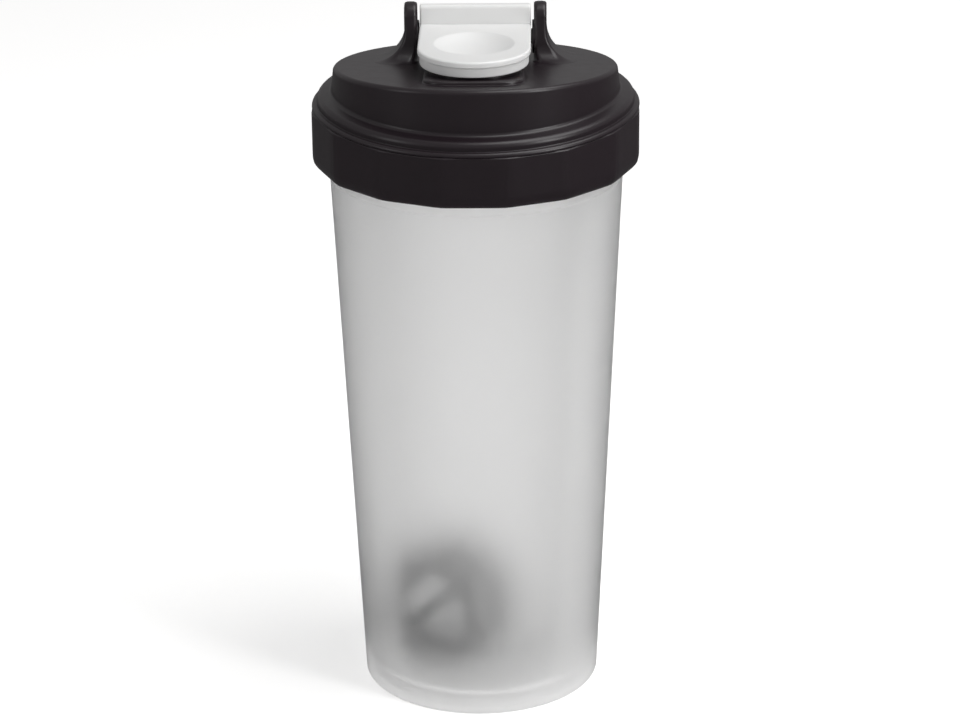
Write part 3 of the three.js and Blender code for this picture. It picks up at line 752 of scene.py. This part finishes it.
def rounded_rectangle(low_x, high_x, low_y, high_y, radius, steps=5):
    """Corner arcs of a rectangle, counter-clockwise from its high corner."""
    just_under_half = 0.499
    radius = min(radius, just_under_half * (high_x - low_x), just_under_half * (high_y - low_y))
    return [
        *arc(high_x - radius, high_y - radius, radius, 0, 90, steps),
        *arc(low_x + radius, high_y - radius, radius, 90, 180, steps),
        *arc(low_x + radius, low_y + radius, radius, 180, 270, steps),
        *arc(high_x - radius, low_y + radius, radius, 270, 360, steps),
    ]


def flare(height, radius):
    """How far a fillet of that radius stands out at a height above its foot."""
    if height >= radius:
        return 0.0
    return radius - math.sqrt(radius**2 - (radius - height) ** 2)


def post(bm, side):
    """A hinge post that flares out of the deck, skinned over sections one above the other."""
    foot = deck_height_at(POST_Y)
    span = TOTAL_HEIGHT - foot
    top_centre = TOTAL_HEIGHT - POST_TOP_RADIUS
    top_round = POST_CORNER_RADIUS
    # Sections lie close together where the foot flares out and where the top rounds over.
    heights = [0.02, 0.15, 0.35, 0.6, 0.9, 1.3, 1.8, 2.4, 3.1, 3.9, 4.7, 5.5, 6.5, 8, 10, 12]
    heights += [span - POST_TOP_RADIUS * (1 - math.sin(math.radians(a))) for a in range(0, 90, 6)]
    heights += [span - 0.01]
    rings = []
    for height in heights:
        level = foot + height
        above = max(0.0, level - top_centre)
        taper = (POST_FOOT_HALF_DEPTH - POST_TOP_RADIUS) * (1 - min(1.0, height / (top_centre - foot)))
        half_depth = math.sqrt(max(0.01, POST_TOP_RADIUS**2 - above**2)) + taper
        near_top = max(0.0, height - (span - top_round))
        pinch = top_round - math.sqrt(max(0.0, top_round**2 - near_top**2))
        inner = POST_INNER_X - flare(height, POST_INNER_FLARE_RADIUS) + pinch
        outer = POST_OUTER_X + flare(height, POST_FLARE_RADIUS) - pinch
        end_flare = flare(height, POST_END_FLARE_RADIUS)
        low_y = POST_Y - half_depth - end_flare
        high_y = POST_Y + half_depth + end_flare
        outline = rounded_rectangle(inner, outer, low_y, high_y, POST_CORNER_RADIUS + end_flare)
        settle = max(0.0, 1 - height / POST_LEVEL_HEIGHT)
        points = [
            (side * x, y, level - settle * (y - POST_Y) * math.tan(DECK_LEAN)) for x, y in outline
        ]
        rings.append(add_ring(bm, points))
    skin_rings(bm, rings)
    bm.faces.new(rings[-1])
    bm.faces.new(rings[0])


def hinge_point(side):
    """Turns a piece made about the Z axis so that Z points outwards through the hinge at that side."""

    def place(point):
        return Vector((side * point.z, POST_Y + point.x, HINGE_HEIGHT + point.y))

    return place


def hinge_pin(bm, side):
    """The pin on a post's inner face and the round boss it stands on."""
    end, foot, boss = 0.5, 0.2, 0.3
    buried = POST_INNER_X + 1
    profile = [
        (0, HINGE_PIN_INNER_X),
        *arc(HINGE_PIN_RADIUS - end, HINGE_PIN_INNER_X + end, end, -90, 0, 4),
        *arc(HINGE_PIN_RADIUS + foot, HINGE_BOSS_INNER_X - foot, foot, 180, 90, 2),
        *arc(HINGE_BOSS_RADIUS - boss, HINGE_BOSS_INNER_X + boss, boss, -90, 0, 4),
        (HINGE_BOSS_RADIUS, buried),
        (0, buried),
    ]
    turned(bm, profile, PIN_SEGMENTS, hinge_point(side))


def build_lid():
    bm = bmesh.new()
    deck_edge, underside_edge = lid_shell(bm)
    spout_foot, bore_end = spout(bm)
    fill_between(bm, deck_edge, spout_foot)
    fill_between(bm, underside_edge, bore_end)
    plinth(bm)
    for side in (1, -1):
        post(bm, side)
        hinge_pin(bm, side)
    thread(bm, COLLAR_BORE_RADIUS, -THREAD_DEPTH, THREAD_START_HEIGHT - THREAD_PITCH / 2)
    piece = mesh_object("black_lid", bm, black_gloss_plastic(), sharp_angle=40)
    keep_flats_flat(piece)
    return stand_in(piece, "lid", "black_plastic", "lid")


# ---- Seal ring ----


def build_seal_ring():
    inner = LIP_RADIUS + SEAL_LIP_GAP
    outer = SEAL_HIGH.x
    low, high = SEAL_LOW.z, SEAL_HIGH.z
    bead = 0.45
    profile = [
        *arc(outer - bead, low + bead, bead, -90, 0, 5),
        *arc(outer - bead, high - bead, bead, 0, 90, 5),
        *arc(inner + bead, high - bead, bead, 90, 180, 5),
        *arc(inner + bead, low + bead, bead, 180, 270, 5),
    ]
    bm = bmesh.new()
    turned(bm, profile, closed=True)
    piece = mesh_object("silicone_seal_ring", bm, seal_silicone())
    return stand_in(piece, "seal", "seal_silicone", "seal_ring")


# ---- Flip cap ----


def nose(inset):
    """The half circle at the front of the cap, drawn in by inset."""
    return arc(0, CAP_NOSE_Y, CAP_HALF_WIDTH - inset, 180, 360, NOSE_STEPS)


def tongue(inset, back_y):
    """The cap's outline drawn in by inset: a round nose and straight sides, counter-clockwise."""
    half = CAP_HALF_WIDTH - inset
    corner = 0.6
    back = back_y - inset
    return [
        *nose(inset),
        *arc(half - corner, back - corner, corner, 0, 90, 4),
        *arc(-half + corner, back - corner, corner, 90, 180, 4),
    ]


def bowl_rings(bm, face_height, lip, lowering):
    """Rings of the dimple's bowl, from where it meets a level face down to its middle."""
    sphere = DIMPLE_SPHERE_RADIUS
    centre = CAP_TOP - DIMPLE_DEPTH - lowering + sphere
    meeting = math.sqrt(sphere**2 - (centre - face_height) ** 2)
    reach = math.degrees(math.asin(meeting / sphere))
    # The bed stops just short of the face, which leaves a narrow softened edge.
    bed = arc(0, centre, sphere, -90 + 0.98 * reach, -90, 20)
    profile = [(meeting + lip, face_height), *bed[:-1], (0, bed[-1][1])]
    shift = Vector((0, DIMPLE_Y, 0))
    rings = turned_rings(bm, profile, SPOUT_SEGMENTS, lambda place: place + shift)
    skin_rings(bm, rings)
    return rings[0]


def cap_plate(bm):
    """The tongue-shaped plate, with the dimple sunk in its top and bulging out of its underside."""
    back_y = CAP_TAB_FRONT_Y + CAP_TAB_THICKNESS
    bottom = CAP_TOP - CAP_PLATE_THICKNESS
    edge, under_edge = 0.65, 0.35
    dimple_softness, bulge_softness = 0.25, 0.3
    rounding = [(edge - i, CAP_TOP - edge + h) for i, h in arc(0, 0, edge, 90, 0, 6)]
    rounding += [(under_edge - i, bottom + under_edge + h) for i, h in arc(0, 0, under_edge, 0, -90, 4)]
    rings = []
    for inset, height in rounding:
        rings.append(add_ring(bm, [(x, y, height) for x, y in tongue(inset, back_y)]))
    skin_rings(bm, rings)
    dimple_lip = bowl_rings(bm, CAP_TOP, dimple_softness, 0)
    fill_between(bm, rings[0], dimple_lip)
    bulge_lip = bowl_rings(bm, bottom, bulge_softness, DIMPLE_WALL)
    fill_between(bm, rings[-1], bulge_lip)


def carried_along_x(bm, outline_at, low_x, high_x, edge):
    """An outline in Y and Z carried along X, its ends rounded over by drawing the outline in."""
    rings = []
    for inset, along in [(edge - i, edge - h) for i, h in arc(0, 0, edge, 90, 0, 5)]:
        rings.append(add_ring(bm, [(low_x + along, y, z) for y, z in outline_at(inset)]))
    for inset, along in [(edge - i, edge - h) for i, h in arc(0, 0, edge, 0, 90, 5)]:
        rings.append(add_ring(bm, [(high_x - along, y, z) for y, z in outline_at(inset)]))
    skin_rings(bm, rings)
    bm.faces.new(rings[0])
    bm.faces.new(rings[-1])


def cap_tab(bm):
    """The upright tab across the back of the plate."""
    round_over = 1.25
    end_round = 0.6
    foot = CAP_TOP - CAP_OVERLAP

    def outline(inset):
        front = CAP_TAB_FRONT_Y + inset
        back = CAP_TAB_FRONT_Y + CAP_TAB_THICKNESS - inset
        top = CAP_TAB_TOP - inset
        corner = round_over - inset
        return [
            (front, foot),
            (back, foot),
            *arc(back - corner, top - corner, corner, 0, 90, 6),
            *arc(front + corner, top - corner, corner, 90, 180, 6),
        ]

    carried_along_x(bm, outline, -CAP_HALF_WIDTH, CAP_HALF_WIDTH, end_round)


def cap_skirt(bm):
    """The wall under the plate: round the nose and back along both sides."""
    outer = CAP_SKIRT_OVERHANG
    inner = outer + CAP_SKIRT_WALL
    edge = 0.4
    section = [
        (outer, CAP_TOP - CAP_OVERLAP),
        *[(outer + edge - i, CAP_SKIRT_BOTTOM + edge + h) for i, h in arc(0, 0, edge, 0, -90, 4)],
        *[(inner - edge - i, CAP_SKIRT_BOTTOM + edge + h) for i, h in arc(0, 0, edge, -90, -180, 4)],
        (inner, CAP_TOP - CAP_OVERLAP),
    ]
    rows = []
    for inset, height in section:
        half = CAP_HALF_WIDTH - inset
        path = [(-half, CAP_SKIRT_END_Y), *nose(inset), (half, CAP_SKIRT_END_Y)]
        rows.append(add_ring(bm, [(x, y, height) for x, y in path]))
    for row_a, row_b in zip(rows, rows[1:] + rows[:1]):
        skin(bm, row_a, row_b, closed=False)
    bm.faces.new([row[0] for row in rows])
    bm.faces.new([row[-1] for row in rows])


def cap_cheek(bm, side):
    """The pierced ear beside a post, drawn in Y and Z and carried through its thickness."""
    front = CAP_SKIRT_END_Y - CAP_OVERLAP
    top = CAP_TOP - CAP_OVERLAP
    # The round of the ear starts forward of the hinge and below it, four parts to three.
    start = math.degrees(math.atan2(-3, -4))
    outline = [
        (front, top),
        (front, CAP_SKIRT_BOTTOM),
        *arc(POST_Y, HINGE_HEIGHT, CAP_CHEEK_RADIUS, start, 90, 24),
        (CAP_TAB_FRONT_Y + 2, top),
    ]
    hole = arc(POST_Y, HINGE_HEIGHT, HINGE_HOLE_RADIUS, 0, 360, PIN_SEGMENTS)[:-1]
    faces = []
    for x in (side * CAP_CHEEK_INNER_X, side * CAP_CHEEK_OUTER_X):
        outer_ring = add_ring(bm, [(x, y, z) for y, z in outline])
        hole_ring = add_ring(bm, [(x, y, z) for y, z in hole])
        fill_between(bm, outer_ring, hole_ring)
        faces.append((outer_ring, hole_ring))
    skin(bm, faces[0][0], faces[1][0])
    skin(bm, faces[0][1], faces[1][1])


def cap_plug(bm):
    """The leaning ring that closes the spout's bore."""
    bottom = SPOUT_HEIGHT - PLUG_DEPTH
    inner = PLUG_RADIUS - PLUG_WALL
    inner_round, outer_round = 0.3, 0.6
    profile = [
        *arc(inner + inner_round, bottom + inner_round, inner_round, 180, 270, 3),
        *arc(PLUG_RADIUS - outer_round, bottom + outer_round, outer_round, -90, 0, 5),
        (PLUG_RADIUS, SPOUT_HEIGHT + 3),
        (inner, SPOUT_HEIGHT + 3),
    ]

    def place(point):
        placed = at_spout(point)
        if point.z > SPOUT_HEIGHT + 1:
            # The top stays hidden in the thickness of the plate and of the dimple's wall.
            from_middle = math.hypot(placed.x, placed.y - DIMPLE_Y)
            placed.z = CAP_TOP - 0.5 * CAP_PLATE_THICKNESS
            if from_middle < DIMPLE_RADIUS:
                drop = math.sqrt(DIMPLE_SPHERE_RADIUS**2 - from_middle**2)
                bed = CAP_TOP - DIMPLE_DEPTH + DIMPLE_SPHERE_RADIUS - drop
                placed.z = min(placed.z, bed - 0.5 * DIMPLE_WALL)
        return placed

    turned(bm, profile, SPOUT_SEGMENTS, place, closed=True)


def build_flip_cap():
    bm = bmesh.new()
    cap_plate(bm)
    cap_tab(bm)
    cap_skirt(bm)
    cap_plug(bm)
    for side in (1, -1):
        cap_cheek(bm, side)
    piece = mesh_object("white_flip_cap", bm, white_satin_plastic(), sharp_angle=38)
    keep_flats_flat(piece)
    return stand_in(piece, "flip_cap", "white_plastic", "flip_cap")


# ---- Mixer ball ----


def ball_knots():
    """The twelve corners of an icosahedron, two of them on the Z axis."""
    radius = BALL_RADIUS - BALL_BAR_RADIUS
    level = radius / math.sqrt(5)
    knots = [Vector((0, 0, radius)), Vector((0, 0, -radius))]
    for i in range(5):
        angle = i * 2 * math.pi / 5
        knots.append(Vector((2 * level * math.cos(angle), 2 * level * math.sin(angle), level)))
        knots.append(Vector((-2 * level * math.cos(angle), -2 * level * math.sin(angle), -level)))
    return knots


def ball_bar(bm, start, end, steps=10, sides=12):
    """A round bar bent along the great circle between two knots."""
    axis = start.cross(end).normalized()
    rings = []
    for i in range(steps + 1):
        centre = start.lerp(end, i / steps).normalized() * start.length
        outward = centre.normalized()
        ring = []
        for side in range(sides):
            angle = 2 * math.pi * side / sides
            ring.append(centre + BALL_BAR_RADIUS * (math.cos(angle) * outward + math.sin(angle) * axis))
        rings.append(add_ring(bm, ring))
    skin_rings(bm, rings)
    bm.faces.new(rings[0])
    bm.faces.new(rings[-1])


def ball_lattice():
    """Bars along the edges of an icosahedron, a knot at each corner and a band at the seam."""
    bm = bmesh.new()
    knots = ball_knots()
    longest_bar = 1.1 * ICOSAHEDRON_EDGE * knots[0].length
    for index, knot in enumerate(knots):
        bed = knot.normalized() * (BALL_RADIUS - BALL_KNOT_RADIUS)
        matrix = Matrix.Translation(bed)
        bmesh.ops.create_icosphere(bm, subdivisions=3, radius=BALL_KNOT_RADIUS, matrix=matrix)
        for other in knots[index + 1 :]:
            if (knot - other).length < longest_bar:
                ball_bar(bm, knot, other)
    half = BALL_SEAM_HALF_HEIGHT
    inner = BALL_RADIUS - 2 * BALL_BAR_RADIUS
    crest, edge = BALL_RADIUS - 0.1, BALL_RADIUS - 0.4
    band = [(inner, -half), (edge, -half), (crest, 0), (edge, half), (inner, half)]
    turned(bm, band, SPOUT_SEGMENTS, closed=True)
    return bm


def blended_mesh(bm, voxel):
    """One skin over overlapping solids, with its inner corners rounded."""
    bmesh.ops.recalc_face_normals(bm, faces=bm.faces)
    rough = bpy.data.meshes.new("lattice_draft")
    bm.to_mesh(rough)
    bm.free()
    draft = bpy.data.objects.new("lattice_draft", rough)
    bpy.context.collection.objects.link(draft)
    remesh = draft.modifiers.new("one_skin", "REMESH")
    remesh.mode = "VOXEL"
    remesh.voxel_size = voxel
    smooth = draft.modifiers.new("soft_corners", "SMOOTH")
    smooth.factor = 0.5
    smooth.iterations = 6
    graph = bpy.context.evaluated_depsgraph_get()
    mesh = bpy.data.meshes.new_from_object(draft.evaluated_get(graph))
    bpy.data.objects.remove(draft)
    bpy.data.meshes.remove(rough)
    return mesh


def ball_half(mesh, name, keep_above, material):
    """One half of the lattice, cut flat at the seam and closed."""
    side = 1 if keep_above else -1
    bm = bmesh.new()
    bm.from_mesh(mesh)
    whole = bm.verts[:] + bm.edges[:] + bm.faces[:]
    cut = bmesh.ops.bisect_plane(
        bm,
        geom=whole,
        plane_co=(0, 0, side * BALL_SEAM_GAP / 2),
        plane_no=(0, 0, side),
        clear_inner=True,
    )
    rims = [item for item in cut["geom_cut"] if isinstance(item, bmesh.types.BMEdge)]
    bmesh.ops.triangle_fill(bm, use_beauty=True, edges=rims)
    turn = Matrix.LocRotScale(BALL_CENTRE, ball_turn(), None)
    bmesh.ops.transform(bm, matrix=turn, verts=bm.verts)
    piece = mesh_object(name, bm, material, sharp_angle=60)
    node = "mixer_ball_upper" if keep_above else "mixer_ball_lower"
    return stand_in(piece, "mixer_ball", "ball_plastic", node)


def ball_turn():
    """The ball's resting turn: about its own X, then Y, then Z, as the CAD part has it."""
    turn = Matrix.Identity(3)
    for axis, angle in zip("XYZ", BALL_TURN):
        turn = turn @ Matrix.Rotation(angle, 3, axis)
    return turn.to_quaternion()


def build_ball():
    material = ball_plastic()
    mesh = blended_mesh(ball_lattice(), BALL_VOXEL)
    ball_half(mesh, "mixer_ball_upper_half", True, material)
    ball_half(mesh, "mixer_ball_lower_half", False, material)
    bpy.data.meshes.remove(mesh)


# ---- Studio ----


def build_floor():
    bm = bmesh.new()
    bmesh.ops.create_grid(bm, x_segments=2, y_segments=2, size=FLOOR_HALF_SIZE)
    floor = mesh_object("studio_floor", bm, floor_paint())
    # Glossy plastic mirrors the dim lower half of the world and not the lit floor.
    floor.visible_glossy = False


def soft_light(name, place, target, width, height, power):
    """A rectangular lamp turned towards its target, in metres and watts."""
    lamp = bpy.data.lights.new(name, "AREA")
    lamp.shape = "RECTANGLE"
    lamp.size = width
    lamp.size_y = height
    lamp.energy = power
    light = bpy.data.objects.new(name, lamp)
    bpy.context.collection.objects.link(light)
    light.location = place
    light.rotation_euler = (target - light.location).to_track_quat("-Z", "Y").to_euler()


def build_lights():
    middle = Vector((0, 0, 0.12))
    soft_light("overhead", (0.5, -0.1, 1.2), middle, width=0.9, height=0.9, power=8)
    soft_light("right_front", (1.0, -0.7, 0.6), middle, width=0.25, height=0.6, power=5)
    soft_light("left_front", (-1.0, -0.6, 0.5), middle, width=0.2, height=0.6, power=1)


def build_world():
    """A grey room, darker below the horizon and lighter above it."""
    world = bpy.data.worlds.new("studio_world")
    world.use_nodes = True
    tree = world.node_tree
    place = tree.nodes.new("ShaderNodeTexCoord")
    split = tree.nodes.new("ShaderNodeSeparateXYZ")
    ramp = tree.nodes.new("ShaderNodeValToRGB")
    tree.links.new(place.outputs["Generated"], split.inputs[0])
    half = tree.nodes.new("ShaderNodeMath")
    half.operation = "MULTIPLY_ADD"
    half.inputs[1].default_value = 0.5
    half.inputs[2].default_value = 0.5
    tree.links.new(split.outputs["Z"], half.inputs[0])
    tree.links.new(half.outputs[0], ramp.inputs[0])
    # A new ramp has one stop at 0, straight down, and one at 1, straight up. The horizon is at 0.5.
    stops = ramp.color_ramp.elements
    stops[0].color = grey(WORLD_BELOW)
    stops[1].color = grey(WORLD_ABOVE)
    stops.new(0.5).color = grey(WORLD_HORIZON)
    stops.new(0.42).color = grey(WORLD_BELOW)
    # The frosted wall lets a bright studio through, while black plastic mirrors a dim one.
    ray = tree.nodes.new("ShaderNodeLightPath")
    seen = tree.nodes.new("ShaderNodeMix")
    seen.data_type = "RGBA"
    tree.links.new(ray.outputs["Is Transmission Ray"], seen.inputs["Factor"])
    tree.links.new(ramp.outputs[0], seen.inputs["A"])
    seen.inputs["B"].default_value = grey(WORLD_THROUGH_WALL)
    tree.links.new(seen.outputs["Result"], tree.nodes["Background"].inputs["Color"])
    bpy.context.scene.world = world


def build_camera():
    """Product view from the front, from above and a little to the right."""
    distance = 0.999
    height = 0.5028
    orbit = math.radians(1.2)
    pitch = math.radians(21.67)
    roll = math.radians(-0.615)
    yaw = math.radians(-0.027)
    data = bpy.data.cameras.new("camera")
    data.lens = 127.8
    data.sensor_width = 36
    camera = bpy.data.objects.new("camera", data)
    bpy.context.collection.objects.link(camera)
    look = Matrix.Rotation(math.pi / 2 - pitch, 4, "X") @ Matrix.Rotation(roll, 4, "Z")
    stand = Matrix.Translation((0, -distance, height)) @ Matrix.Rotation(yaw, 4, "Z")
    camera.matrix_world = Matrix.Rotation(orbit, 4, "Z") @ stand @ look
    bpy.context.scene.camera = camera


build_cup()
build_lid()
build_seal_ring()
build_flip_cap()
build_ball()
build_floor()
build_lights()
build_world()
build_camera()

scene = bpy.context.scene
scene.view_settings.view_transform = "Standard"
